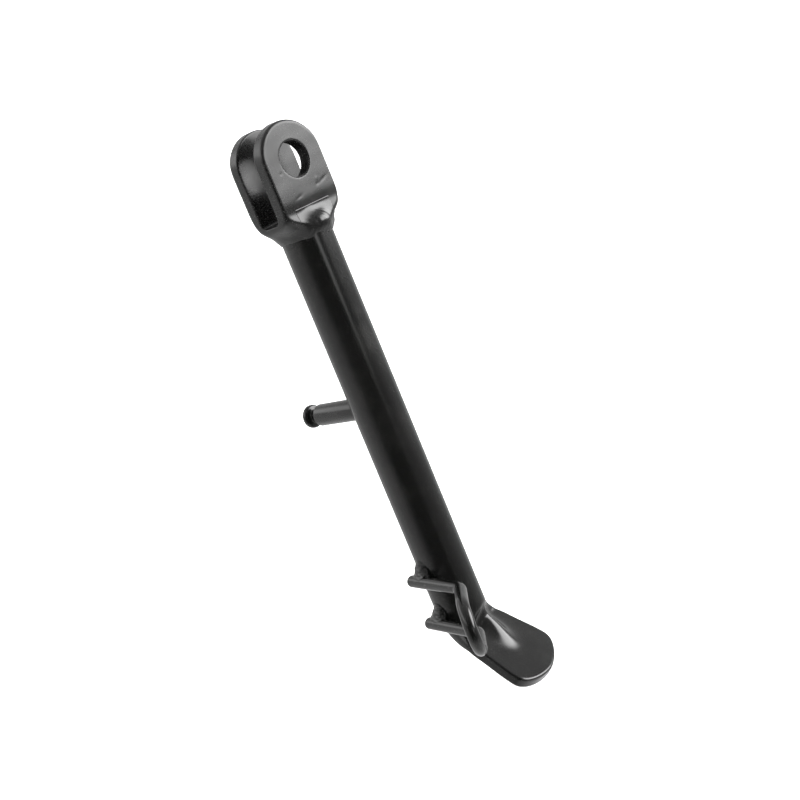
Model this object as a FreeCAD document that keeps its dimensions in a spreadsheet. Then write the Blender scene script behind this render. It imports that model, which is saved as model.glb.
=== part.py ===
import FreeCAD, Part
import math
import os

import Sketcher
from FreeCAD import Placement, Rotation, Vector

# Welded steel side stand: a forged fork, a tube leg whose lower end is pressed into the foot,
# a turned spring post and a bent rod tang, joined by weld beads.
# Origin: centre of the pivot bore. +Z runs up the leg, +X along the pivot axis.

doc = FreeCAD.newDocument("side_stand")
sheet = doc.addObject("Spreadsheet::Sheet", "dims")

# alias, value (millimetres or degrees), what it sizes
DIMENSIONS = [
    ("tube_diameter", 22.0, "outside of the leg tube"),
    ("tube_wall", 2.5, "wall of the leg tube"),
    ("tube_top", 27.0, "pivot axis down to the tube's upper end"),
    ("bore_diameter", 15.0, "pivot bore through the ear on the +X side"),
    ("thread_diameter", 10.2, "hole for the pivot bolt's thread, in the other ear"),
    ("slot_width", 11.0, "gap between the ears"),
    ("slot_depth", 22.0, "pivot axis down to the slot floor"),
    ("slot_corner", 2.5, "radius between slot floor and ears"),
    ("ear_thickness", 5.75, "one ear along the pivot axis"),
    ("ear_width", 32.0, "ear across its flanks"),
    ("crown_radius", 16.2, "round top of the ears about the pivot"),
    ("shoulder_drop", 20.5, "pivot axis down to where the fork starts to neck in"),
    ("neck_diameter", 21.4, "fork where it meets the tube end"),
    ("spigot_length", 14.0, "fork shank inside the tube"),
    ("spigot_clearance", 0.1, "radial gap between shank and tube bore"),
    ("fork_edge", 0.8, "broken edges of the ears"),
    ("fork_bead_height", 1.7, "weld bead proud of the tube"),
    ("fork_bead_width", 10.4, "weld bead along the leg, at its root"),
    ("foot_drop", 210.1, "pivot axis down to the bend of the foot"),
    ("foot_bend", 43.5, "angle of the foot to the leg"),
    ("foot_turn", 20.0, "foot direction about the leg, from the pivot axis"),
    ("foot_bend_radius", 25.0, "bend between leg and foot, on the middle line"),
    ("foot_reach", 41.6, "bend point to the tip of the toe"),
    ("foot_heel_width", 35.0, "pressed foot where it has gone flat"),
    ("foot_toe_width", 39.8, "pressed foot at its widest"),
    ("toe_length", 10.2, "round end of the foot"),
    ("press_over", 1.0, "end of the bend to where the foot has gone flat"),
    ("sole_skim", 0.06, "taken off the underside to make the sole flat"),
    ("ridge_height", 5.5, "rest of the tube's round on the foot where it goes flat"),
    ("ridge_length", 16.0, "the ridge from there to where it has faded out"),
    ("post_drop", 107.4, "pivot axis down to the spring post"),
    ("post_diameter", 9.7, "spring post shank"),
    ("post_reach", 38.0, "leg axis to the end of the shank"),
    ("groove_diameter", 5.2, "neck that holds the spring hook"),
    ("groove_width", 4.0, "neck between shank and head"),
    ("head_diameter", 10.4, "spring post head"),
    ("head_thickness", 3.0, "spring post head"),
    ("head_edge", 1.4, "rounding of the head"),
    ("post_bead_width", 12.6, "weld bead round the spring post"),
    ("post_bead_rise", 1.8, "the same bead, out from the tube along the post"),
    ("post_bead_round", 1.2, "round outer edge of that bead"),
    ("rod_diameter", 5.3, "rod of the tang"),
    ("tang_drop", 184.0, "pivot axis down to the upper leg of the tang"),
    ("tang_pitch", 20.6, "spacing of the tang's two legs"),
    ("tang_turn", 11.0, "direction of the tang's legs, from the pivot axis"),
    ("tang_bend", 34.5, "turn of the tang's free end"),
    ("tang_bend_radius", 8.0, "middle line of that turn"),
    ("tang_tail", 7.4, "tang leg behind its weld"),
    ("tang_leg", 29.5, "tang leg from its weld to the bend point"),
    ("tang_free", 16.0, "bend point to the start of the U-turn"),
    ("tang_bead_width", 7.0, "weld bead above each tang leg"),
    ("tang_bead_reach", 12.2, "leg axis to the middle of that bead"),
    ("tang_bead_floor", 1.0, "middle of the rod up to the bead's root"),
    ("tang_bead_top", 7.7, "middle of the rod up to the bead's top"),
    ("tang_bead_round", 2.4, "round top of the bead"),
]
for row, (alias, value, note) in enumerate(DIMENSIONS, start=1):
    sheet.set("A%d" % row, note)
    sheet.set("B%d" % row, str(value))
    sheet.setAlias("B%d" % row, alias)
doc.recompute()


NEAR = 1e-6


def size(alias):
    """Value of one driving dimension."""
    return float(getattr(sheet, alias))


def add_sketch(body, name, role, geometry):
    """Sketch on one of the body's own origin planes, holding the given geometry."""
    sketch = body.newObject("Sketcher::SketchObject", name)
    plane = next(f for f in body.Origin.OriginFeatures if f.Role == role)
    sketch.AttachmentSupport = [(plane, "")]
    sketch.MapMode = "FlatFace"
    for item in geometry:
        sketch.addGeometry(item, False)
    return sketch


def constrain(sketch, kind, *where, name=None, rule=None):
    """Add one constraint, and tie it to the sheet when a rule is given."""
    index = sketch.addConstraint(Sketcher.Constraint(kind, *where))
    if rule:
        sketch.renameConstraint(index, name)
        sketch.setExpression("Constraints." + name, rule)


def line(start, end):
    return Part.LineSegment(Vector(*start, 0), Vector(*end, 0))


# ---- fork: two ears on a solid neck, with a shank inside the tube ----
fork = doc.addObject("PartDesign::Body", "fork")
half_width = size("ear_width") / 2
corner = math.sqrt(size("crown_radius") ** 2 - half_width ** 2)
corner_angle = math.atan2(corner, half_width)
shoulder = -size("shoulder_drop")

outline = add_sketch(fork, "ear_outline", "YZ_Plane", [
    Part.ArcOfCircle(Part.Circle(Vector(), Vector(0, 0, 1), size("crown_radius")),
                     corner_angle, math.pi - corner_angle),
    line((-half_width, corner), (-half_width, shoulder)),
    line((-half_width, shoulder), (half_width, shoulder)),
    line((half_width, shoulder), (half_width, corner)),
])
constrain(outline, "Coincident", 0, 3, -1, 1)
constrain(outline, "Coincident", 0, 2, 1, 1)
constrain(outline, "Coincident", 1, 2, 2, 1)
constrain(outline, "Coincident", 2, 2, 3, 1)
constrain(outline, "Coincident", 3, 2, 0, 1)
constrain(outline, "Vertical", 1)
constrain(outline, "Vertical", 3)
constrain(outline, "Symmetric", 1, 2, 3, 1, -2)
constrain(outline, "Radius", 0, size("crown_radius"), name="crown", rule="dims.crown_radius")
constrain(outline, "DistanceX", 2, 1, 2, 2, size("ear_width"), name="width", rule="dims.ear_width")
constrain(outline, "DistanceY", 2, 1, -1, 1, size("shoulder_drop"), name="drop", rule="dims.shoulder_drop")

ears = fork.newObject("PartDesign::Pad", "ears")
ears.Profile = outline
ears.Midplane = True
ears.setExpression("Length", "dims.slot_width + 2 * dims.ear_thickness")


def outer_ear_edges(shape):
    """Names of the edges round the outer faces of both ears, above the shoulder."""
    reach = size("slot_width") / 2 + size("ear_thickness")
    names = []
    for index, edge in enumerate(shape.Edges, start=1):
        box = edge.BoundBox
        on_face = box.XLength < NEAR and abs(abs(box.XMin) - reach) < NEAR
        if on_face and box.ZMax > NEAR - size("shoulder_drop"):
            names.append("Edge%d" % index)
    return names


doc.recompute()
broken = fork.newObject("PartDesign::Fillet", "broken_edges")
broken.Base = (ears, outer_ear_edges(ears.Shape))
broken.setExpression("Radius", "dims.fork_edge")

half_depth = size("slot_width") / 2 + size("ear_thickness")
shoulder_box = add_sketch(fork, "shoulder_section", "XY_Plane", [
    line((-half_depth, -half_width), (half_depth, -half_width)),
    line((half_depth, -half_width), (half_depth, half_width)),
    line((half_depth, half_width), (-half_depth, half_width)),
    line((-half_depth, half_width), (-half_depth, -half_width)),
])
for side in range(4):
    constrain(shoulder_box, "Coincident", side, 2, (side + 1) % 4, 1)
    constrain(shoulder_box, "Vertical" if side % 2 else "Horizontal", side)
constrain(shoulder_box, "Symmetric", 0, 1, 2, 1, -1, 1)
constrain(shoulder_box, "DistanceX", 0, 1, 0, 2, 2 * half_depth, name="depth",
          rule="dims.slot_width + 2 * dims.ear_thickness")
constrain(shoulder_box, "DistanceY", 1, 1, 1, 2, 2 * half_width, name="width", rule="dims.ear_width")
shoulder_box.setExpression("AttachmentOffset.Base.z", "-dims.shoulder_drop")

neck_radius = size("neck_diameter") / 2
circle = Part.Circle(Vector(), Vector(0, 0, 1), neck_radius)
neck_round = add_sketch(fork, "neck_section", "XY_Plane", [
    Part.ArcOfCircle(circle, math.radians(start), math.radians(start + 90)) for start in (225, 315, 45, 135)
])
for quarter in range(4):
    constrain(neck_round, "Coincident", quarter, 2, (quarter + 1) % 4, 1)
    constrain(neck_round, "Coincident", quarter, 3, -1, 1)
constrain(neck_round, "Radius", 0, neck_radius, name="neck", rule="dims.neck_diameter / 2")
constrain(neck_round, "Symmetric", 0, 1, 0, 2, -2)
constrain(neck_round, "Symmetric", 1, 1, 1, 2, -1)
neck_round.setExpression("AttachmentOffset.Base.z", "-dims.tube_top")

neck = fork.newObject("PartDesign::AdditiveLoft", "neck")
neck.Profile = shoulder_box
neck.Sections = [neck_round]
neck.Ruled = True

shank_round = add_sketch(fork, "shank_section", "XY_Plane", [
    Part.Circle(Vector(), Vector(0, 0, 1), size("tube_diameter") / 2 - size("tube_wall")),
])
constrain(shank_round, "Coincident", 0, 3, -1, 1)
constrain(shank_round, "Radius", 0, size("tube_diameter") / 2 - size("tube_wall"), name="shank",
          rule="dims.tube_diameter / 2 - dims.tube_wall - dims.spigot_clearance")
shank_round.setExpression("AttachmentOffset.Base.z", "-dims.tube_top")
shank = fork.newObject("PartDesign::Pad", "shank")
shank.Profile = shank_round
shank.Reversed = True
shank.setExpression("Length", "dims.spigot_length")

half_slot = size("slot_width") / 2
floor = -size("slot_depth")
bend = size("slot_corner")
slot_top = size("crown_radius") + bend
slot_shape = add_sketch(fork, "slot_outline", "XZ_Plane", [
    line((-half_slot, slot_top), (-half_slot, floor + bend)),
    Part.ArcOfCircle(Part.Circle(Vector(bend - half_slot, floor + bend, 0), Vector(0, 0, 1), bend),
                     math.pi, 1.5 * math.pi),
    line((bend - half_slot, floor), (half_slot - bend, floor)),
    Part.ArcOfCircle(Part.Circle(Vector(half_slot - bend, floor + bend, 0), Vector(0, 0, 1), bend),
                     1.5 * math.pi, 2 * math.pi),
    line((half_slot, floor + bend), (half_slot, slot_top)),
    line((half_slot, slot_top), (-half_slot, slot_top)),
])
for first in range(4):
    constrain(slot_shape, "Tangent", first, 2, first + 1, 1)
constrain(slot_shape, "Coincident", 4, 2, 5, 1)
constrain(slot_shape, "Coincident", 5, 2, 0, 1)
constrain(slot_shape, "Vertical", 0)
constrain(slot_shape, "Vertical", 4)
constrain(slot_shape, "Symmetric", 0, 1, 5, 1, -2)
constrain(slot_shape, "Equal", 1, 3)
constrain(slot_shape, "Radius", 1, bend, name="corner", rule="dims.slot_corner")
constrain(slot_shape, "DistanceX", 0, 1, 5, 1, 2 * half_slot, name="gap", rule="dims.slot_width")
constrain(slot_shape, "DistanceY", 2, 1, -1, 1, -floor, name="depth", rule="dims.slot_depth")
constrain(slot_shape, "DistanceY", -1, 1, 5, 1, slot_top, name="top",
          rule="dims.crown_radius + dims.slot_corner")
slot = fork.newObject("PartDesign::Pocket", "slot")
slot.Profile = slot_shape
slot.Midplane = True
slot.setExpression("Length", "2 * dims.ear_width")

for hole, diameter, near_ear in (("bore", "bore_diameter", True), ("thread_hole", "thread_diameter", False)):
    outline = add_sketch(fork, hole + "_outline", "YZ_Plane", [
        Part.Circle(Vector(), Vector(0, 0, 1), size(diameter) / 2),
    ])
    constrain(outline, "Coincident", 0, 3, -1, 1)
    constrain(outline, "Radius", 0, size(diameter) / 2, name=hole, rule="dims.%s / 2" % diameter)
    drilled = fork.newObject("PartDesign::Pocket", hole)
    drilled.Profile = outline
    drilled.Reversed = near_ear
    drilled.setExpression("Length", "dims.slot_width / 2 + 2 * dims.ear_thickness")
doc.recompute()


# ---- leg: round tube, pressed flat and bent at its lower end to make the foot ----
tube_radius = size("tube_diameter") / 2
tube_bore = tube_radius - size("tube_wall")
foot_slope = math.radians(size("foot_bend"))
foot_heading = math.radians(size("foot_turn"))
across = Vector(math.sin(foot_heading), -math.cos(foot_heading), 0)
outward = Vector(math.cos(foot_heading), math.sin(foot_heading), 0)
along_foot = outward * math.sin(foot_slope) - Vector(0, 0, math.cos(foot_slope))
bend_point = Vector(0, 0, -size("foot_drop"))
bend_run = size("foot_bend_radius") * math.tan(foot_slope / 2)
plate = 2 * size("tube_wall")


def leg_station(run):
    """Middle line of the leg and its direction, at a run measured through the bend point."""
    if run <= -bend_run:
        return bend_point + Vector(0, 0, -run), Vector(0, 0, -1)
    if run >= bend_run:
        return bend_point + along_foot * run, along_foot
    turned = foot_slope * (run + bend_run) / (2 * bend_run)
    centre = bend_point + Vector(0, 0, bend_run) + outward * size("foot_bend_radius")
    spoke = outward * -math.cos(turned) + Vector(0, 0, -math.sin(turned))
    heading = outward * math.sin(turned) - Vector(0, 0, math.cos(turned))
    return centre + spoke * size("foot_bend_radius"), heading


def smooth(value, low, high):
    """0 below low, 1 above high, and an even S-curve between them."""
    share = min(max((value - low) / (high - low), 0.0), 1.0)
    return share * share * (3 - 2 * share)


press_start = -bend_run
press_end = bend_run + size("press_over")
toe_start = size("foot_reach") - size("toe_length")
ridge_end = press_end + size("ridge_length")
SECTION_POINTS = 32
EDGE_POWER = 10


def leg_section(run):
    """Closed wire round the leg at one run: a circle that turns into a flat plate with a ridge."""
    flat = smooth(run, press_start, press_end)
    spread = smooth(run, press_end, toe_start)
    half = (size("foot_heel_width") * (1 - spread) + size("foot_toe_width") * spread) / 2
    ridge = size("ridge_height") * (1 - smooth(run, press_end, ridge_end))
    centre, heading = leg_station(run)
    upward = across.cross(heading)
    points = []
    for step in range(SECTION_POINTS):
        angle = 2 * math.pi * step / SECTION_POINTS
        c, s = math.cos(angle), math.sin(angle)
        # a plate with round edges; the ridge is a hump over its middle
        wide = half * c
        high = plate / 2 * math.copysign(math.sqrt(max(1 - abs(c) ** EDGE_POWER, 0)), s)
        if s > 0:
            high += ridge * math.exp(-(wide / tube_bore) ** 2)
        u = (1 - flat) * tube_radius * c + flat * wide
        v = (1 - flat) * tube_radius * s + flat * high
        points.append(centre + across * u + upward * v)
    curve = Part.BSplineCurve()
    curve.interpolate(points, PeriodicFlag=True)
    return Part.Wire(curve.toShape())


PRESS_STEPS, SPREAD_STEPS = 10, 6
runs = [press_start + (press_end - press_start) * step / PRESS_STEPS for step in range(PRESS_STEPS + 1)]
runs += [press_end + (toe_start - press_end) * step / SPREAD_STEPS for step in range(1, SPREAD_STEPS + 1)]
runs += [size("foot_reach") + plate]
runs.insert(0, size("tube_top") - size("foot_drop"))
formed = Part.makeLoft([leg_section(run) for run in runs], True, True)

# the toe's plan: the plate runs out into half an ellipse
toe_half = size("foot_toe_width") / 2
plan_down = along_foot.cross(across)
plan_frame = FreeCAD.Matrix(along_foot.x, across.x, plan_down.x, bend_point.x,
                            along_foot.y, across.y, plan_down.y, bend_point.y,
                            along_foot.z, across.z, plan_down.z, bend_point.z,
                            0, 0, 0, 1)
beyond = size("foot_drop") + size("foot_toe_width")
back = Part.makeBox(toe_start + beyond, 2 * beyond, 2 * beyond, Vector(-beyond, -beyond, -beyond))
long_axis, short_axis = max(toe_half, size("toe_length")), min(toe_half, size("toe_length"))
tip_curve = Part.Ellipse(Vector(0, 0, 0), long_axis, short_axis)
tip = Part.Face(Part.Wire(tip_curve.toShape())).extrude(Vector(0, 0, 2 * beyond))
quarter_turn = 90 if toe_half > size("toe_length") else 0
tip.Placement = Placement(Vector(toe_start, 0, -beyond), Rotation(Vector(0, 0, 1), quarter_turn))
plan = back.fuse(tip)
plan.Placement = Placement(plan_frame)
under = Part.makeBox(beyond, 2 * beyond, beyond, Vector(bend_run, -beyond, plate / 2 - size("sole_skim")))
under.Placement = Placement(plan_frame)
formed = formed.common(plan).cut(under)

bore_length = size("foot_drop") - bend_run - size("tube_top")
tube_hollow = Part.makeCylinder(tube_bore, bore_length, Vector(0, 0, -size("tube_top")), Vector(0, 0, -1))
leg = doc.addObject("Part::Feature", "leg_tube")
leg.Shape = formed.cut(tube_hollow).Solids[0]

# ---- spring post: turned pin with a grooved neck, standing on the tube ----
shank_pin = doc.addObject("Part::Cylinder", "post_shank")
shank_pin.setExpression("Radius", "dims.post_diameter / 2")
shank_pin.setExpression("Height", "dims.post_reach")
neck_pin = doc.addObject("Part::Cylinder", "post_neck")
neck_pin.setExpression("Radius", "dims.groove_diameter / 2")
neck_pin.setExpression("Height", "dims.post_reach + dims.groove_width + dims.head_thickness / 2")
head_pin = doc.addObject("Part::Cylinder", "post_head")
head_pin.setExpression("Radius", "dims.head_diameter / 2")
head_pin.setExpression("Height", "dims.head_thickness")
away = Rotation(Vector(0, 0, 1), Vector(-1, 0, 0))
for pin in (shank_pin, neck_pin):
    pin.Placement = Placement(Vector(), away)
    pin.setExpression("Placement.Base.z", "-dims.post_drop")
head_pin.Placement = Placement(Vector(), away)
head_pin.setExpression("Placement.Base.x", "-dims.post_reach - dims.groove_width")
head_pin.setExpression("Placement.Base.z", "-dims.post_drop")
doc.recompute()
head_round = doc.addObject("Part::Fillet", "post_head_round")
head_round.Base = head_pin
rims = [index for index, edge in enumerate(head_pin.Shape.Edges, start=1) if edge.BoundBox.XLength < NEAR]
head_round.Edges = [(index, size("head_edge"), size("head_edge")) for index in rims]
pin_blank = doc.addObject("Part::MultiFuse", "post_blank")
pin_blank.Shapes = [shank_pin, neck_pin, head_round]
seat = doc.addObject("Part::Cylinder", "post_seat")
seat.setExpression("Radius", "dims.tube_diameter / 2")
seat.setExpression("Height", "4 * dims.post_diameter")
seat.setExpression("Placement.Base.z", "-dims.post_drop - 2 * dims.post_diameter")
post = doc.addObject("Part::Cut", "spring_post")
post.Base = pin_blank
post.Tool = seat

# ---- tang: round rod bent to a U, its two legs laid against the tube ----
rod_radius = size("rod_diameter") / 2
tang_heading = math.radians(size("tang_turn"))
free_heading = tang_heading + math.radians(size("tang_bend"))
leg_way = Vector(math.cos(tang_heading), -math.sin(tang_heading), 0)
free_way = Vector(math.cos(free_heading), -math.sin(free_heading), 0)
touch_way = Vector(-math.sin(tang_heading), -math.cos(tang_heading), 0)
half_pitch = size("tang_pitch") / 2
tang_middle = touch_way * (tube_radius + rod_radius) + Vector(0, 0, -size("tang_drop") - half_pitch)
turn_run = size("tang_bend_radius") * math.tan(math.radians(size("tang_bend")) / 2)


def tang_half(level):
    """Points of one leg, from its tail to the start of the U-turn, at a height from the middle."""
    lift = tang_middle + Vector(0, 0, level)
    knee = lift + leg_way * size("tang_leg")
    middle_way = (free_way - leg_way).normalize()
    depth = size("tang_bend_radius") / math.cos(math.radians(size("tang_bend")) / 2)
    centre = knee + middle_way * depth
    return {
        "tail": lift - leg_way * size("tang_tail"),
        "in": knee - leg_way * turn_run,
        "mid": centre - middle_way * size("tang_bend_radius"),
        "out": knee + free_way * turn_run,
        "end": knee + free_way * size("tang_free"),
    }


high, low = tang_half(half_pitch), tang_half(-half_pitch)
turn_tip = (high["end"] + low["end"]) / 2 + free_way * half_pitch
route = Part.Wire([
    Part.LineSegment(high["tail"], high["in"]).toShape(),
    Part.Arc(high["in"], high["mid"], high["out"]).toShape(),
    Part.LineSegment(high["out"], high["end"]).toShape(),
    Part.Arc(high["end"], turn_tip, low["end"]).toShape(),
    Part.LineSegment(low["end"], low["out"]).toShape(),
    Part.Arc(low["out"], low["mid"], low["in"]).toShape(),
    Part.LineSegment(low["in"], low["tail"]).toShape(),
])
rod_round = Part.Wire(Part.Circle(high["tail"], leg_way, rod_radius).toShape())
tang = doc.addObject("Part::Feature", "foot_tang")
tang.Shape = route.makePipeShell([rod_round], True, True)

# ---- weld beads: each fills the corner between the two pieces that it joins ----
bead_ring = doc.addObject("Part::Feature", "fork_bead_blank")
ring_half = size("fork_bead_width") / 2
ring_root = tube_radius - size("tube_wall") / 2
crest = tube_radius + size("fork_bead_height")
ring_top = Vector(ring_root, 0, ring_half)
ring_foot = Vector(ring_root, 0, -ring_half)
ring_wire = Part.Wire([
    Part.Arc(ring_top, Vector(crest, 0, 0), ring_foot).toShape(),
    Part.LineSegment(ring_foot, ring_top).toShape(),
])
bead_ring.Shape = Part.Face(ring_wire).revolve(Vector(), Vector(0, 0, 1), 360)
bead_ring.Placement = Placement(Vector(0, 0, -size("tube_top")), Rotation())


def bead_between(name, blank, *pieces):
    """Weld bead: the blank, less the pieces that it joins."""
    shape = blank.Shape
    for piece in pieces:
        shape = shape.cut(piece.Shape)
    bead = doc.addObject("Part::Feature", name)
    bead.Shape = max(shape.Solids, key=lambda solid: solid.Volume)
    return bead


def rounded_blank(solid, name, radius, chosen):
    """Bead blank: the solid with its chosen edges rounded to a named radius."""
    edges = [i for i, edge in enumerate(solid.Shape.Edges, start=1) if chosen(edge.BoundBox)]
    rounding = doc.addObject("Part::Fillet", name)
    rounding.Base = solid
    rounding.Edges = [(index, size(radius), size(radius)) for index in edges]
    doc.recompute()
    return rounding


doc.recompute()
bead_between("fork_weld", bead_ring, fork, leg)

collar = doc.addObject("Part::Cylinder", "post_bead_collar")
collar.setExpression("Radius", "dims.post_bead_width / 2")
collar.setExpression("Height", "dims.tube_wall + dims.post_bead_rise")
collar.Placement = Placement(Vector(), away)
collar.setExpression("Placement.Base.x", "dims.tube_wall - dims.tube_diameter / 2")
collar.setExpression("Placement.Base.z", "-dims.post_drop")
doc.recompute()
ring = rounded_blank(collar, "spring_post_weld_blank", "post_bead_round", lambda box: box.XMax < -tube_radius)
bead_between("spring_post_weld", ring, leg, pin_blank)

for name, level in (("tang_weld_upper", half_pitch), ("tang_weld_lower", -half_pitch)):
    pillar = doc.addObject("Part::Cylinder", name + "_pillar")
    pillar.setExpression("Radius", "dims.tang_bead_width / 2")
    pillar.setExpression("Height", "dims.tang_bead_top - dims.tang_bead_floor")
    spot = touch_way * size("tang_bead_reach") + Vector(0, 0, tang_middle.z + level + size("tang_bead_floor"))
    pillar.Placement = Placement(spot, Rotation())
    doc.recompute()
    blob = rounded_blank(pillar, name + "_blank", "tang_bead_round", lambda box: box.ZMin > spot.z + NEAR)
    bead_between(name, blob, leg, tang)

doc.recompute()

NODES = ["fork", "leg_tube", "spring_post", "foot_tang",
         "fork_weld", "spring_post_weld", "tang_weld_upper", "tang_weld_lower"]
for item in doc.Objects:
    bad = [state for state in item.State if state in ("Invalid", "Error")]
    if bad:
        raise RuntimeError("%s is %s" % (item.Name, bad))
os.makedirs("parts", exist_ok=True)
for node in NODES:
    item = doc.getObject(node)
    item.Label = node
    shape = item.Shape
    if shape.isNull() or not shape.isValid() or len(shape.Solids) != 1:
        raise RuntimeError("%s is not one valid solid" % node)
    print("%-18s %9.1f mm3" % (node, shape.Volume))
for node in NODES:
    doc.getObject(node).Shape.exportStep("parts/%s.step" % node)
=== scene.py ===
import math

import bpy
import numpy as np
from mathutils import Matrix, Vector


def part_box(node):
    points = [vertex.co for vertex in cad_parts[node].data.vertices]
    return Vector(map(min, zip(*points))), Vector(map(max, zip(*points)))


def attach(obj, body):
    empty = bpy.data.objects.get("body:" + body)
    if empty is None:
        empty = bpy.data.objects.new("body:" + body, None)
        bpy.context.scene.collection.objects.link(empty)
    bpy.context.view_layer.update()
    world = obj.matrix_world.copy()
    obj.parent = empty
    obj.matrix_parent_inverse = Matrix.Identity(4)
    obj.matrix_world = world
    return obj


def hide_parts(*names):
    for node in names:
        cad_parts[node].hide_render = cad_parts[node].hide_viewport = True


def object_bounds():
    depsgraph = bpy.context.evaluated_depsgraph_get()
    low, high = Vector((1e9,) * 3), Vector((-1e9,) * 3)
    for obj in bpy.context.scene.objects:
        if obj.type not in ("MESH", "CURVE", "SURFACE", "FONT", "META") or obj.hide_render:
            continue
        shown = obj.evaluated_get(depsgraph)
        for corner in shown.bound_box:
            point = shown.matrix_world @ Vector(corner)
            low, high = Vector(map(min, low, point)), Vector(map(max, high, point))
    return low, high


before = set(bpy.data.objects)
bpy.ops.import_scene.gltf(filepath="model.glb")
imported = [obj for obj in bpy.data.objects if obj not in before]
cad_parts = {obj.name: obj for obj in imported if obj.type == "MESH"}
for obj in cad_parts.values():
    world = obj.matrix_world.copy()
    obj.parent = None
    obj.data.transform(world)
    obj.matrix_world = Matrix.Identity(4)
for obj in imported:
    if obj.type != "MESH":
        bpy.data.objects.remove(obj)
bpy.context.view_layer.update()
MM = 0.001

# ---- leg and foot ----
# One length of drawn steel tube. Its lower end is bent, then pressed flat into the foot, which
# keeps a ridge of the tube's round along its middle. Gloss black powder coat.
TUBE_RADIUS = 11.0
TUBE_WALL = 2.5
TUBE_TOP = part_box("leg_tube")[1][2] / MM
FOOT_DROP = 210.1
FOOT_SLOPE = math.radians(43.5)
FOOT_HEADING = math.radians(20.0)
BEND_RADIUS = 17.0
BEND_RUN = BEND_RADIUS * math.tan(FOOT_SLOPE / 2)
TOE_LENGTH = 10.2
TOE_START = 31.3
PRESS_START, PRESS_END = -8.5, 9.0
HEEL_HALF, TOE_HALF = 17.0, 19.6
TOE_POWER = 1.6
PLATE_EDGE = 1.1
EDGE_TAIL = 4.0
RIDGE_HEIGHT, RIDGE_LEAD, RIDGE_LENGTH, RIDGE_HALF = 6.0, 6.0, 19.0, 5.6
ACROSS = np.array([math.sin(FOOT_HEADING), -math.cos(FOOT_HEADING), 0.0])
OUTWARD = np.array([math.cos(FOOT_HEADING), math.sin(FOOT_HEADING), 0.0])
DOWN = np.array([0.0, 0.0, -1.0])


def smooth(value, low, high):
    """0 below low, 1 above high, and an even S-curve between them."""
    share = np.clip((value - low) / (high - low), 0.0, 1.0)
    return share * share * (3 - 2 * share)


def lumps(points, wave, seed):
    """Soft unevenness between about -1 and 1: the mean of ten sine waves of about the given length,
    each along a direction of its own."""
    draw = np.random.default_rng(seed)
    total = 0.0
    for _ in range(10):
        way = draw.normal(size=3)
        way *= 2 * math.pi / (wave * draw.uniform(0.7, 1.6)) / np.linalg.norm(way)
        total = total + np.sin(points @ way + draw.uniform(0, 2 * math.pi))
    return total / 4


def mesh_object(name, points, faces):
    """Piece with these points, in millimetres, and these faces, shaded smooth and facing outwards."""
    mesh = bpy.data.meshes.new(name)
    mesh.from_pydata((np.asarray(points) * MM).tolist(), [], faces)
    mesh.calc_loop_triangles()
    corners = np.empty(len(mesh.loop_triangles) * 3, int)
    mesh.loop_triangles.foreach_get("vertices", corners)
    a, b, c = (np.asarray(points)[corners.reshape(-1, 3)[:, i]] for i in range(3))
    if np.sum(np.cross(a, b) * c) < 0:
        mesh.flip_normals()
    mesh.shade_smooth()
    piece = bpy.data.objects.new(name, mesh)
    bpy.context.scene.collection.objects.link(piece)
    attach(piece, "root")
    return piece


def field_surface(field, low, high, cell):
    """Points and quads of the closed surface where field is 0, in a box of cubic cells. Each cell that
    the surface crosses holds one point, the mean of the crossings on its edges, moved onto the surface
    along the field's slope. Each grid edge that crosses the surface is the middle of one quad."""
    axes = [np.arange(a, b + cell, cell) for a, b in zip(low, high)]
    grid = np.stack(np.meshgrid(*axes, indexing="ij"), -1)
    value = field(grid)
    inside = value < 0
    cells = tuple(n - 1 for n in value.shape)
    total, count = np.zeros(cells + (3,)), np.zeros(cells)
    crossings = []
    for axis in range(3):
        lower = tuple(slice(None, -1) if i == axis else slice(None) for i in range(3))
        upper = tuple(slice(1, None) if i == axis else slice(None) for i in range(3))
        cross = inside[lower] != inside[upper]
        gap = np.where(cross, value[lower] - value[upper], 1.0)
        share = np.where(cross, value[lower] / gap, 0.0)[..., None]
        where = (grid[lower] * (1 - share) + grid[upper] * share) * cross[..., None]
        crossings.append((cross, inside[lower]))
        for first in (0, 1):
            for second in (0, 1):
                starts = [0, 0, 0]
                starts[(axis + 1) % 3], starts[(axis + 2) % 3] = first, second
                part = tuple(slice(s, s + n) for s, n in zip(starts, cells))
                total += where[part]
                count += cross[part]
    used = count > 0
    number = np.full(cells, -1)
    number[used] = np.arange(used.sum())
    points = total[used] / count[used][:, None]
    quads = []
    for axis, (cross, lower_inside) in enumerate(crossings):
        spot = np.argwhere(cross)
        b, c = (axis + 1) % 3, (axis + 2) % 3
        inner = (spot[:, b] > 0) & (spot[:, b] < cells[b]) & (spot[:, c] > 0) & (spot[:, c] < cells[c])
        spot = spot[inner]
        ring = []
        for back_b, back_c in ((1, 1), (0, 1), (0, 0), (1, 0)):
            at = spot.copy()
            at[:, b] -= back_b
            at[:, c] -= back_c
            ring.append(number[tuple(at.T)])
        ring = np.stack(ring, -1)
        outward = lower_inside[tuple(spot.T)][:, None]
        quads.append(np.where(outward, ring, ring[:, ::-1]))
    for _ in range(4):
        step = np.eye(3) * cell * 0.05
        slope = np.stack([(field(points + s) - field(points - s)) / (cell * 0.1) for s in step], -1)
        move = field(points)[:, None] * slope / np.maximum((slope ** 2).sum(-1, keepdims=True), 0.05)
        points = points - np.clip(move, -cell / 2, cell / 2)
    return points, np.concatenate(quads)


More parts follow.
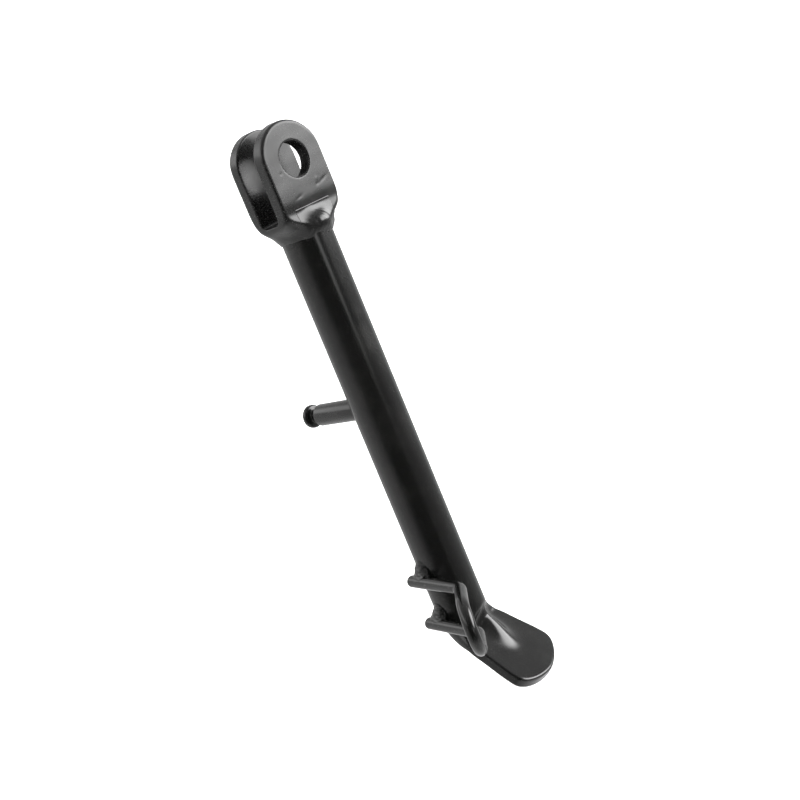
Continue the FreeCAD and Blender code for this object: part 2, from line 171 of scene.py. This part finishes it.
def leg_field(p):
    """Below 0 inside the straightened leg, where p is run, across and upward. It is a slab with round
    edges: its half width and half thickness start as the tube's radius and turn into the plate's, a
    bell-shaped hump along its middle is the ridge, and its plan ends in the toe, where a power of the
    width and the square of the length add up to 1."""
    run, across, upward = p[..., 0], p[..., 1], p[..., 2]
    flat = smooth(run, PRESS_START, PRESS_END)
    half = HEEL_HALF + (TOE_HALF - HEEL_HALF) * smooth(run, PRESS_END, TOE_START)
    half = TUBE_RADIUS + (half - TUBE_RADIUS) * flat
    thick = TUBE_RADIUS + (TUBE_WALL - TUBE_RADIUS) * flat
    rounder = 1 - smooth(run, PRESS_START, PRESS_END + EDGE_TAIL)
    edge = np.minimum(thick, PLATE_EDGE + (TUBE_RADIUS - PLATE_EDGE) * rounder)
    ridge = RIDGE_HEIGHT * flat * (1 - smooth(run, PRESS_END - RIDGE_LEAD, PRESS_END + RIDGE_LENGTH))
    height = upward - ridge * np.exp(-(across / RIDGE_HALF) ** 2) * smooth(upward, 0, TUBE_WALL)
    toe = np.maximum(run - TOE_START, 0) / TOE_LENGTH
    wide = np.abs(across) / half
    plan = wide ** TOE_POWER + toe ** 2 - 1
    slope = np.sqrt((TOE_POWER * wide ** (TOE_POWER - 1) / half) ** 2 + (2 * toe / TOE_LENGTH) ** 2)
    plan = np.where(run > TOE_START, np.maximum(plan / np.maximum(slope, 1e-3), -half), np.abs(across) - half)
    side, face = plan + edge, np.abs(height) - thick + edge
    slab = np.hypot(np.maximum(side, 0), np.maximum(face, 0)) + np.minimum(np.maximum(side, face), 0) - edge
    return np.maximum(slab, -(run + FOOT_DROP + TUBE_TOP))


def bend_leg(p):
    """Carry straightened points onto the leg's middle line: straight down, an arc, then the foot."""
    run, across, upward = p[:, :1], p[:, 1:2], p[:, 2:]
    turned = FOOT_SLOPE * np.clip((run + BEND_RUN) / (2 * BEND_RUN), 0, 1)
    heading = np.sin(turned) * OUTWARD + np.cos(turned) * DOWN
    normal = np.cross(np.broadcast_to(ACROSS, heading.shape), heading)
    bend = DOWN * FOOT_DROP
    straight = bend + run * heading
    on_arc = bend - BEND_RUN * DOWN + BEND_RADIUS * (OUTWARD - normal)
    return np.where(np.abs(run) > BEND_RUN, straight, on_arc) + across * ACROSS + upward * normal


class Value:
    """A shader socket in Python arithmetic: an operator on it adds a Math node to its tree."""

    def __init__(self, tree, socket=None):
        self.tree, self.socket = tree, socket

    def node(self, kind, settings, inputs, output=0):
        """Add a node: its type, its settings (and a ramp's stops), then its sockets' values or links."""
        made = self.tree.nodes.new("ShaderNode" + kind)
        for name, value in settings.items():
            if name == "stops":
                for spot, (place, colour) in enumerate(value):
                    stop = made.color_ramp.elements[spot] if spot < 2 else made.color_ramp.elements.new(place)
                    stop.position, stop.color = place, (*colour, 1)
            else:
                setattr(made, name, value)
        for key, value in inputs.items():
            if isinstance(value, Value):
                self.tree.links.new(value.socket, made.inputs[key])
            else:
                made.inputs[key].default_value = value
        return Value(self.tree, made.outputs[output])

    def math(self, operation, first, second):
        return self.node("Math", {"operation": operation}, {0: first, 1: second})

    def __add__(self, other):
        return self.math("ADD", self, other)

    def __sub__(self, other):
        return self.math("SUBTRACT", self, other)

    def __rsub__(self, other):
        return self.math("SUBTRACT", other, self)

    def __mul__(self, other):
        return self.math("MULTIPLY", self, other)

    __radd__, __rmul__ = __add__, __mul__

    def above(self, low, high):
        """0 below low and 1 above high, with a soft step between."""
        return self.node("MapRange", {"interpolation_type": "SMOOTHSTEP"},
                         {"Value": self, "From Min": low, "From Max": high})


def black_paint(slot, peel, lump, gloss):
    """Gloss black powder coat over steel: a fine orange peel and slower waves in its surface, specks
    under it, a film of dust that dulls patches, and a shade that shifts a little from place to place.
    peel and lump are the heights of the two unevennesses in metres; gloss is the roughness where clean."""
    material = bpy.data.materials.new(slot)
    material.use_nodes = True
    tree = material.node_tree
    shader = tree.nodes["Principled BSDF"]
    paint = Value(tree)
    place = paint.node("TexCoord", {}, {}, "Object")
    orange = paint.node("TexNoise", {}, {"Vector": place, "Scale": 900.0, "Detail": 2.0})
    slow = paint.node("TexNoise", {}, {"Vector": place, "Scale": 160.0, "Detail": 2.0})
    dust = paint.node("TexNoise", {}, {"Vector": place, "Scale": 60.0, "Detail": 5.0}).above(0.45, 0.75)
    grit = paint.node("TexVoronoi", {}, {"Vector": place, "Scale": 420.0})
    patches = paint.node("TexNoise", {}, {"Vector": place, "Scale": 90.0})
    speck = (1 - grit.above(0.04, 0.11)) * patches.above(0.5, 0.6)
    clean, dusty = (0.0030, 0.0031, 0.0029, 1), (0.0060, 0.0060, 0.0055, 1)
    colour = paint.node("Mix", {"data_type": "RGBA"}, {"Factor": dust, "A": clean, "B": dusty}, 2)
    tree.links.new(colour.socket, shader.inputs["Base Color"])
    dull = dust * 0.08 + speck * 0.15 + orange * 0.05 + (gloss - 0.025)
    tree.links.new(dull.socket, shader.inputs["Roughness"])
    height = orange * peel + slow * lump + speck * (2 * peel)
    bump = paint.node("Bump", {}, {"Height": height, "Distance": 1.0})
    tree.links.new(bump.socket, shader.inputs["Normal"])
    shader.inputs["IOR"].default_value = 1.5
    return material


def finish_piece(piece, material, slot, *nodes):
    """Give a piece its paint, and put it in the place of its CAD nodes; the slot argument is not used."""
    piece.data.materials.append(material)
    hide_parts(*nodes)


LEG_CELL = 0.5
leg_points, leg_quads = field_surface(leg_field, (-FOOT_DROP - TUBE_TOP - 1, -20.5, -12),
                                      (TOE_START + TOE_LENGTH + 1, 20.5, 12), LEG_CELL)
leg = mesh_object("leg_and_foot", bend_leg(leg_points), leg_quads.tolist())
finish_piece(leg, black_paint("tube", 2.0e-6, 1.2e-5, 0.16), "tube", "leg_tube")

# ---- fork ----
# A drop forging: two ears with the pivot bore and the bracket's slot, on a neck that runs down into
# the tube. Its slot and bore are machined, its skin is uneven from the die, and all of it is painted.
BORE_RADIUS, THREAD_RADIUS = 7.5, 5.1
SLOT_HALF = 5.5
SLOT_FLOOR = -22.0
SLOT_CORNER = 2.5
EAR_THICK = 5.75
EAR_HALF = 16.0
CROWN_RADIUS = 16.1
NECK_START, NECK_END = -18.0, -30.0
SHOULDER_START, SHOULDER_END = -22.0, -31.0
NECK_RADIUS = 10.9
EAR_EDGE, BACK_EDGE = 1.5, 2.4
WAIST_DEPTH, WAIST_LEVEL, WAIST_HEIGHT = 0.5, -19.6, 2.7
SLOT_EDGE, HOLE_EDGE = 0.5, 0.4
DENT_HALF = 0.55
FORK_CELL = 0.4
SHANK_RADIUS = TUBE_RADIUS - TUBE_WALL - 0.1
SHANK_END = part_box("fork")[0][2] / MM
# creases left by the die in one ear's face: place across and up, length, tilt and depth
DENTS = [(-5.2, -14.6, 1.9, 0.25, 0.08), (6.3, -12.6, 0.9, 0.3, 0.07), (9.9, -11.8, 2.4, 0.35, 0.08),
         (1.4, -17.2, 1.2, 0.1, 0.05), (-9.5, -3.5, 0.6, 0.5, 0.05), (6.8, -10.4, 0.6, 0.9, -0.06)]


def soft_max(a, b, radius):
    """The larger of two fields, with the edge where they meet rounded to about the given radius."""
    mix = np.clip(0.5 + (a - b) / (2 * radius), 0, 1)
    return b + (a - b) * mix + radius * mix * (1 - mix)


def round_box(x, y, half_x, half_y, radius):
    """Distance to a rectangle with round corners."""
    qx, qy = np.abs(x) - half_x + radius, np.abs(y) - half_y + radius
    return np.hypot(np.maximum(qx, 0), np.maximum(qy, 0)) + np.minimum(np.maximum(qx, qy), 0) - radius


def fork_field(p):
    """Below 0 inside the fork: a block whose rectangle turns into the neck's circle as it goes down,
    under a round crown, less the slot with its round floor and less a hole in each ear, with soft
    edges. A bell-shaped waist thins the ears' faces and bell-shaped creases mark one of them. The
    shank is a plain cylinder."""
    x, y, z = p[..., 0], p[..., 1], p[..., 2]
    necked = smooth(-z, -NECK_START, -NECK_END)
    half_x = (SLOT_HALF + EAR_THICK) * (1 - necked) + NECK_RADIUS * necked
    half_x = half_x - WAIST_DEPTH * np.exp(-((z - WAIST_LEVEL) / WAIST_HEIGHT) ** 2)
    tapered = smooth(-z, -SHOULDER_START, -SHOULDER_END)
    half_y = EAR_HALF * (1 - tapered) + NECK_RADIUS * tapered
    corner = np.where(x > 0, EAR_EDGE, BACK_EDGE) * (1 - necked) + NECK_RADIUS * necked
    block = round_box(x, y, half_x, half_y, np.minimum(corner, np.minimum(half_x, half_y)))
    crown = np.where(z > 0, np.hypot(y, z) - CROWN_RADIUS, np.abs(y) - CROWN_RADIUS)
    block = soft_max(block, crown, EAR_EDGE)
    block = np.maximum(block, NECK_END - 2 - z)
    slot = round_box(x, z - (SLOT_FLOOR + 30), SLOT_HALF, 30, SLOT_CORNER)
    block = soft_max(block, -slot, SLOT_EDGE)
    hole = np.where(x > 0, BORE_RADIUS, THREAD_RADIUS) - np.hypot(y, z)
    block = soft_max(block, hole, HOLE_EDGE)
    shank = np.maximum(np.hypot(x, y) - SHANK_RADIUS, np.maximum(SHANK_END - z, z + 26))
    skin = smooth(-z, 16, 24) * 0.12 + 0.02
    for dent_y, dent_z, length, tilt, depth in DENTS:
        along = (y - dent_y) * math.cos(tilt) + (z - dent_z) * math.sin(tilt)
        beside = (z - dent_z) * math.cos(tilt) - (y - dent_y) * math.sin(tilt)
        block = block + depth * np.exp(-(along / length) ** 2 - (beside / DENT_HALF) ** 2) * (x > 9)
    return np.minimum(block, shank) + lumps(p, 9.0, 4) * skin


fork_low, fork_high = (-12.2, -16.8, SHANK_END - 1), (12.2, 16.8, 17.2)
fork_points, fork_quads = field_surface(fork_field, fork_low, fork_high, FORK_CELL)
fork = mesh_object("fork", fork_points, fork_quads.tolist())
finish_piece(fork, black_paint("forging", 2.0e-6, 2.0e-5, 0.27), "forging", "fork")

# ---- spring post ----
# A turned steel pin, its shank plain, with a neck for the spring's hook and a round-edged head.
# It stands square on the tube, welded round its root.
POST_DROP = -107.4
POST_RADIUS = 4.85
POST_REACH = 38.0
POST_NECK = 2.6
POST_GROOVE = 4.0
HEAD_RADIUS = 5.2
POST_END = -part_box("spring_post")[0][0] / MM


def rounded(profile, radii, steps=7):
    """Outline of (along, radius) points whose corners are arcs of the given radii. An arc touches both
    sides of its corner, so it starts at its radius over the tangent of half the corner's angle."""
    out = [np.array(profile[0], float)]
    for before, corner, after, radius in zip(profile, profile[1:], profile[2:], radii):
        before, corner, after = (np.array(q, float) for q in (before, corner, after))
        back, on = before - corner, after - corner
        back, on = back / np.linalg.norm(back), on / np.linalg.norm(on)
        cut = radius / math.tan(math.acos(np.clip(back @ on, -1, 1)) / 2)
        middle = back + on
        centre = corner + middle / np.linalg.norm(middle) * math.hypot(radius, cut)
        start, stop = corner + back * cut - centre, corner + on * cut - centre
        sweep = math.atan2(start[0] * stop[1] - start[1] * stop[0], start @ stop)
        for turn in np.linspace(0, sweep, steps):
            out.append(centre + (start[0] * math.cos(turn) - start[1] * math.sin(turn),
                                 start[0] * math.sin(turn) + start[1] * math.cos(turn)))
    out.append(np.array(profile[-1], float))
    return np.array(out)


def ring_surface(name, rows, ends=True):
    """Closed surface from a grid of points (rows, round, 3) whose rows are closed rings: quads between
    each row and the next, and either a fan over the first and last rows or a join between the two."""
    count, ring = rows.shape[:2]
    index = np.arange(count * ring).reshape(count, ring)
    if not ends:
        index = np.concatenate([index, index[:1]])
    beside = np.roll(index, -1, axis=1)
    faces = np.stack([index[:-1], beside[:-1], beside[1:], index[1:]], -1).reshape(-1, 4).tolist()
    points = rows.reshape(-1, 3)
    if ends:
        points = np.concatenate([points, [rows[0].mean(0), rows[-1].mean(0)]])
        first, last = count * ring, count * ring + 1
        faces += np.stack([beside[0], index[0], np.full(ring, first)], -1).tolist()
        faces += np.stack([index[-1], beside[-1], np.full(ring, last)], -1).tolist()
    return mesh_object(name, points, faces)


post_profile = rounded(
    [(9.8, 4.0), (9.8, POST_RADIUS), (POST_REACH, POST_RADIUS), (POST_REACH + 0.4, POST_NECK),
     (POST_REACH + POST_GROOVE, POST_NECK), (POST_REACH + POST_GROOVE + 0.2, HEAD_RADIUS),
     (POST_END, HEAD_RADIUS), (POST_END, 1.2)],
    [0.1, 1.3, 0.8, 0.8, 1.1, 1.2])
turn = np.linspace(0, 2 * math.pi, 96, endpoint=False)
along, radius = post_profile[:, :1], post_profile[:, 1:]
post_rows = np.stack([-along + 0 * turn, radius * np.cos(turn), POST_DROP + radius * np.sin(turn)], -1)
post = ring_surface("spring_post", post_rows)
finish_piece(post, black_paint("turned", 1.6e-6, 0.8e-5, 0.16), "turned", "spring_post")

# ---- foot tang ----
# A round steel rod bent to a long U that the rider's boot pushes. Its legs lie against the tube, one
# above the other, and its free end is bent outwards. Its ends are sheared and softened by the paint.
ROD_RADIUS = 2.64
TANG_TURN = math.radians(11.0)
TANG_BEND = math.radians(34.5)
TANG_MIDDLE = -194.3
HALF_PITCH = 10.3
KNEE_RUN, TAIL_RUN, FREE_RUN, KNEE_RADIUS = 29.5, 7.4, 16.0, 8.0


def flat_way(turned):
    """Level unit vector turned by an angle from +X towards -Y."""
    return np.array([math.cos(turned), -math.sin(turned), 0.0])


def tang_route():
    """Middle line of the rod, from the upper tail to the lower: a straight leg, an arc of the knee, a
    straight, the half circle of the U, and the same again back, evenly spaced along each stretch."""
    leg_way, free_way = flat_way(TANG_TURN), flat_way(TANG_TURN + TANG_BEND)
    touch_way = flat_way(TANG_TURN + math.pi / 2)
    middle = touch_way * (TUBE_RADIUS + ROD_RADIUS) - DOWN * TANG_MIDDLE
    knee = middle + leg_way * KNEE_RUN
    cut = KNEE_RADIUS * math.tan(TANG_BEND / 2)
    centre = knee - leg_way * cut + touch_way * KNEE_RADIUS
    tail = np.linspace(0, 1, 40)[:, None]
    half = [middle - leg_way * TAIL_RUN + tail * leg_way * (TAIL_RUN + KNEE_RUN - cut)]
    for turned in np.linspace(0, TANG_BEND, 14)[1:]:
        half.append((centre - KNEE_RADIUS * flat_way(TANG_TURN + turned + math.pi / 2))[None])
    start = knee + free_way * cut
    end = knee + free_way * FREE_RUN
    half.append(start + np.linspace(0, 1, 16)[1:, None] * (end - start))
    half = np.concatenate(half)
    bow = np.linspace(0, math.pi, 40)[1:-1, None]
    turn_part = end + HALF_PITCH * (np.sin(bow) * free_way - np.cos(bow) * DOWN)
    return np.concatenate([half - HALF_PITCH * DOWN, turn_part, half[::-1] + HALF_PITCH * DOWN])


def rod_rings(route, radius, ring=40, soft=0.9):
    """Rings of a round rod along a route. A ring's axes are turned from one point to the next by the
    least turn, and the ends close over a quarter circle of the given radius."""
    ahead = np.gradient(route, axis=0)
    ahead /= np.linalg.norm(ahead, axis=1, keepdims=True)
    quarter = np.linspace(math.pi / 2, 0, 7)
    cap = soft * (1 - np.sin(quarter))
    start = route[0] + ahead[0] * cap[:, None]
    stop = route[-1] - ahead[-1] * cap[::-1, None]
    lead = radius - soft * (1 - np.cos(quarter))
    points = np.concatenate([start, route[1:-1], stop])
    steps = len(quarter)
    ways = np.concatenate([np.repeat(ahead[:1], steps, 0), ahead[1:-1], np.repeat(ahead[-1:], steps, 0)])
    widths = np.concatenate([lead, np.full(len(route) - 2, radius), lead[::-1]])
    side = np.cross(ways[0], DOWN)
    sides = []
    for way in ways:
        side = side - way * (side @ way)
        side = side / np.linalg.norm(side)
        sides.append(side)
    sides = np.array(sides)
    above = np.cross(ways, sides)
    turn = np.linspace(0, 2 * math.pi, ring, endpoint=False)[None, :, None]
    disc = np.cos(turn) * sides[:, None] + np.sin(turn) * above[:, None]
    return points[:, None] + widths[:, None, None] * disc


tang = ring_surface("foot_tang", rod_rings(tang_route(), ROD_RADIUS))
finish_piece(tang, black_paint("rod", 1.8e-6, 1.0e-5, 0.16), "rod", "foot_tang")

# ---- weld beads ----
# Runs of weld laid by hand: a ring round the neck of the fork, a fillet round the spring post and a
# short run above each leg of the tang. Their ripples show through the paint.
BEAD_LEVEL = -26.9
WELD_SKIN = 0.03
FORK_BEAD_CELL, TANG_BEAD_CELL = 0.35, 0.25


def fork_bead_field(p):
    """Below 0 inside the ring of weld round the fork's neck: a ring whose height and level wander, run
    softly into the skins of the fork above and the tube below, and held to the band it was laid in."""
    x, y, z = p[..., 0], p[..., 1], p[..., 2]
    turn, level_spot = np.arctan2(y, x), p * [1, 1, 0]
    level = BEAD_LEVEL + 0.5 * lumps(level_spot, 10.0, 10)
    high = 1.9 + 0.5 * np.sin(turn - 0.2) + 0.4 * lumps(level_spot, 8.0, 8)
    ripple = 0.018 * np.sin(turn * 30 + 0.5 * (z - level) ** 2) + 0.07 * lumps(p, 6.0, 12)
    out = np.hypot(x, y) - TUBE_RADIUS + 0.8
    ring = (np.sqrt((out / (high + 0.8)) ** 2 + ((z - level) / 3.9) ** 2) - 1) * 2.2 + ripple
    tube = np.where(z < NECK_END + 2, np.hypot(x, y) - TUBE_RADIUS - WELD_SKIN, 9.0)
    skins = np.minimum(tube, fork_field(p) - WELD_SKIN)
    flow = -soft_max(-ring, -skins, 2.2)
    top = 4 * smooth(np.abs(x), 6.5, 9.5) - 22.5
    band = np.maximum(BEAD_LEVEL - 4.2 - 0.6 * lumps(level_spot, 7.0, 11) - z, z - top)
    inner = 9.8 - np.hypot(x, y)
    return np.maximum(np.maximum(flow, band), np.maximum(inner, np.hypot(x, y) - 14.5))


def post_bead():
    """Fillet round the post: from a ring on the post to a ring on the tube's skin, its face bulging a
    little, closed behind inside the tube's wall."""
    turn = np.linspace(0, 2 * math.pi, 160, endpoint=False)[:, None]
    around = np.linspace(0, 2 * math.pi, 28, endpoint=False)[None]
    spread = 1.9 + 0.12 * np.sin(3 * turn + 1) + 0.08 * np.sin(7 * turn)
    ripple = 0.05 * np.sin(turn * 22)
    share = 0.5 - 0.5 * np.cos(around)
    radius = POST_RADIUS - 0.5 + (spread + 0.5) * share
    skin = np.sqrt(TUBE_RADIUS ** 2 - np.clip(radius * np.cos(turn), -10.5, 10.5) ** 2)
    bulge = np.sin(around)
    face = np.where(bulge > 0, (1 - share) ** 1.6 * 3.0 + 0.15 * bulge + ripple, 0.5 * bulge)
    return np.stack([-(skin + face), radius * np.cos(turn), POST_DROP + radius * np.sin(turn)], -1)


def tang_bead_field(level, seed):
    """Field of a short run of weld in the corner between the tube and the top of the rod: a round blob
    that flows out over both, kept to a wider round, with a few slanting ripples across it."""
    out = flat_way(TANG_TURN + math.pi / 2)
    way = flat_way(TANG_TURN)

    def field(p):
        q = p - (out * (TUBE_RADIUS + ROD_RADIUS) - DOWN * (TANG_MIDDLE + level))
        u, v, w = q @ way, q @ out, -(q @ DOWN)
        blob = (np.sqrt((u / 2.8) ** 2 + ((v + 1.9) / 1.8) ** 2 + ((w - 3.2) / 3.4) ** 2) - 1) * 2.2
        tube, rod = np.hypot(p[..., 0], p[..., 1]) - TUBE_RADIUS + 0.05, np.hypot(v, w) - ROD_RADIUS + 0.05
        flow = -soft_max(-blob, soft_max(-tube, -rod, 5.5), 3.0)
        reach = (np.sqrt((u / 4.6) ** 2 + ((v + 1.4) / 4.2) ** 2 + ((w - 3.6) / 5.6) ** 2) - 1) * 4.0
        rough = 0.06 * np.sin(w * 4.2 + u * 0.8) + 0.12 * lumps(p, 4.0, seed)
        return np.maximum(flow + rough, reach)
    return field


weld_paint = black_paint("weld", 2.4e-6, 2.5e-5, 0.18)
bead_points, bead_quads = field_surface(fork_bead_field, (-15, -15, -34), (15, 15, -17.5), FORK_BEAD_CELL)
finish_piece(mesh_object("fork_weld", bead_points, bead_quads.tolist()), weld_paint, "weld", "fork_weld")
post_weld = ring_surface("spring_post_weld", post_bead(), ends=False)
finish_piece(post_weld, weld_paint, "weld", "spring_post_weld")
for name, level, seed in (("tang_weld_upper", HALF_PITCH, 21), ("tang_weld_lower", -HALF_PITCH, 22)):
    low, high = (np.array(corner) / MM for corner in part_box(name))
    points, quads = field_surface(tang_bead_field(level, seed), low - 3, high + 3, TANG_BEAD_CELL)
    finish_piece(mesh_object(name, points, quads.tolist()), weld_paint, "weld", name)

# ---- studio ----
# A plain pale floor that curves up into a wall, lit by the room round it: one large soft box to the
# right, a narrow strip of light in front, paler walls behind and at the left, and dark elsewhere.
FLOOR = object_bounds()[0][2] - 0.0005
EYE = Vector((0.4418, -0.3740, 0.0123))
AIM = Vector((0.0154, -0.0007, -0.1062))
ROLL = math.radians(-22.4)
LENS, SENSOR = 63.52, 36.0
scene = bpy.context.scene
scene.view_settings.view_transform = "Standard"


def sweep(half, radius, wall):
    """Points and faces of a floor that curves up into a wall all round: rings of a disc, of a quarter
    circle of the given radius and of the wall's top, with a fan at the middle."""
    turn = np.linspace(0, 2 * math.pi, 96, endpoint=False)[None]
    quarter = np.linspace(0, math.pi / 2, 16)
    out = np.concatenate([np.linspace(0.02, half, 8), half + radius * np.sin(quarter), [half + radius]])
    up = np.concatenate([np.zeros(8), radius * (1 - np.cos(quarter)), [radius + wall]])
    rows = np.stack([out[:, None] * np.cos(turn), out[:, None] * np.sin(turn), up[:, None] + 0 * turn], -1)
    rows[..., 2] += FLOOR
    count, ring = rows.shape[:2]
    index = np.arange(count * ring).reshape(count, ring)
    beside = np.roll(index, -1, axis=1)
    faces = np.stack([index[:-1], index[1:], beside[1:], beside[:-1]], -1).reshape(-1, 4).tolist()
    faces += np.stack([index[0], beside[0], np.full(ring, count * ring)], -1).tolist()
    return np.concatenate([rows.reshape(-1, 3), [[0, 0, FLOOR]]]).tolist(), faces


floor_mesh = bpy.data.meshes.new("floor")
floor_points, floor_faces = sweep(3.0, 1.5, 4.0)
floor_mesh.from_pydata(floor_points, [], floor_faces)
floor_mesh.shade_smooth()
floor = bpy.data.objects.new("floor", floor_mesh)
scene.collection.objects.link(floor)
white = bpy.data.materials.new("floor_white")
white.use_nodes = True
card = white.node_tree.nodes["Principled BSDF"].inputs
card["Base Color"].default_value = (0.9, 0.9, 0.9, 1)
card["Roughness"].default_value = 0.9
card["Emission Color"].default_value = (1, 1, 1, 1)
card["Emission Strength"].default_value = 0.6
floor_mesh.materials.append(white)
# the room's light passes the wall, and gloss shows the room in its place
floor.visible_glossy = False
floor.visible_shadow = False

world = bpy.data.worlds.new("room")
scene.world = world
world.use_nodes = True
lit = world.node_tree.nodes["Background"].inputs
lit["Color"].default_value = (1, 1, 1, 1)
room = Value(world.node_tree)
look = room.node("TexCoord", {}, {}, "Generated")
front = Vector((EYE.x, EYE.y, 0)).normalized()


def toward(way):
    """Cosine of the angle between the look and a direction."""
    return room.node("VectorMath", {"operation": "DOT_PRODUCT"}, {0: look, 1: way}, "Value")


ahead, beside = toward(front), toward(Vector((-front.y, front.x, 0)))
streak = toward(Matrix.Rotation(math.radians(36), 3, "Z") @ front)
rise = room.node("SeparateXYZ", {}, {"Vector": look}, "Z")
behind = (0 - ahead).above(-0.85, 0.3) * 0.36 + (0 - ahead).above(0.4, 0.95) * 0.35
sides = (0 - beside).above(0.45, 0.95) * 0.5 + beside.above(0.4, 0.55) * 0.16
box = beside.above(0.84, 0.94) * rise.above(-0.06, 0.02) * (1 - rise.above(0.5, 0.7)) * 9.5
glow = (0 - beside).above(0.4, 0.7) * rise.above(0.3, 0.45) * (1 - rise.above(0.62, 0.8)) * 1.5
low_light = (0 - rise).above(0.4, 0.8) * 0.8
overhead = rise.above(0.35, 0.85) * 0.35
light = behind + sides + box + glow + low_light + overhead + streak.above(0.984, 0.998) * 2.2 + 0.02
world.node_tree.links.new(light.socket, lit["Strength"])

camera = bpy.data.objects.new("camera", bpy.data.cameras.new("camera"))
camera.data.lens, camera.data.sensor_width = LENS, SENSOR
aim_turn = (AIM - EYE).to_track_quat("-Z", "Y").to_matrix()
camera.matrix_world = Matrix.Translation(EYE) @ (aim_turn @ Matrix.Rotation(ROLL, 3, "Z")).to_4x4()
scene.collection.objects.link(camera)
scene.camera = camera
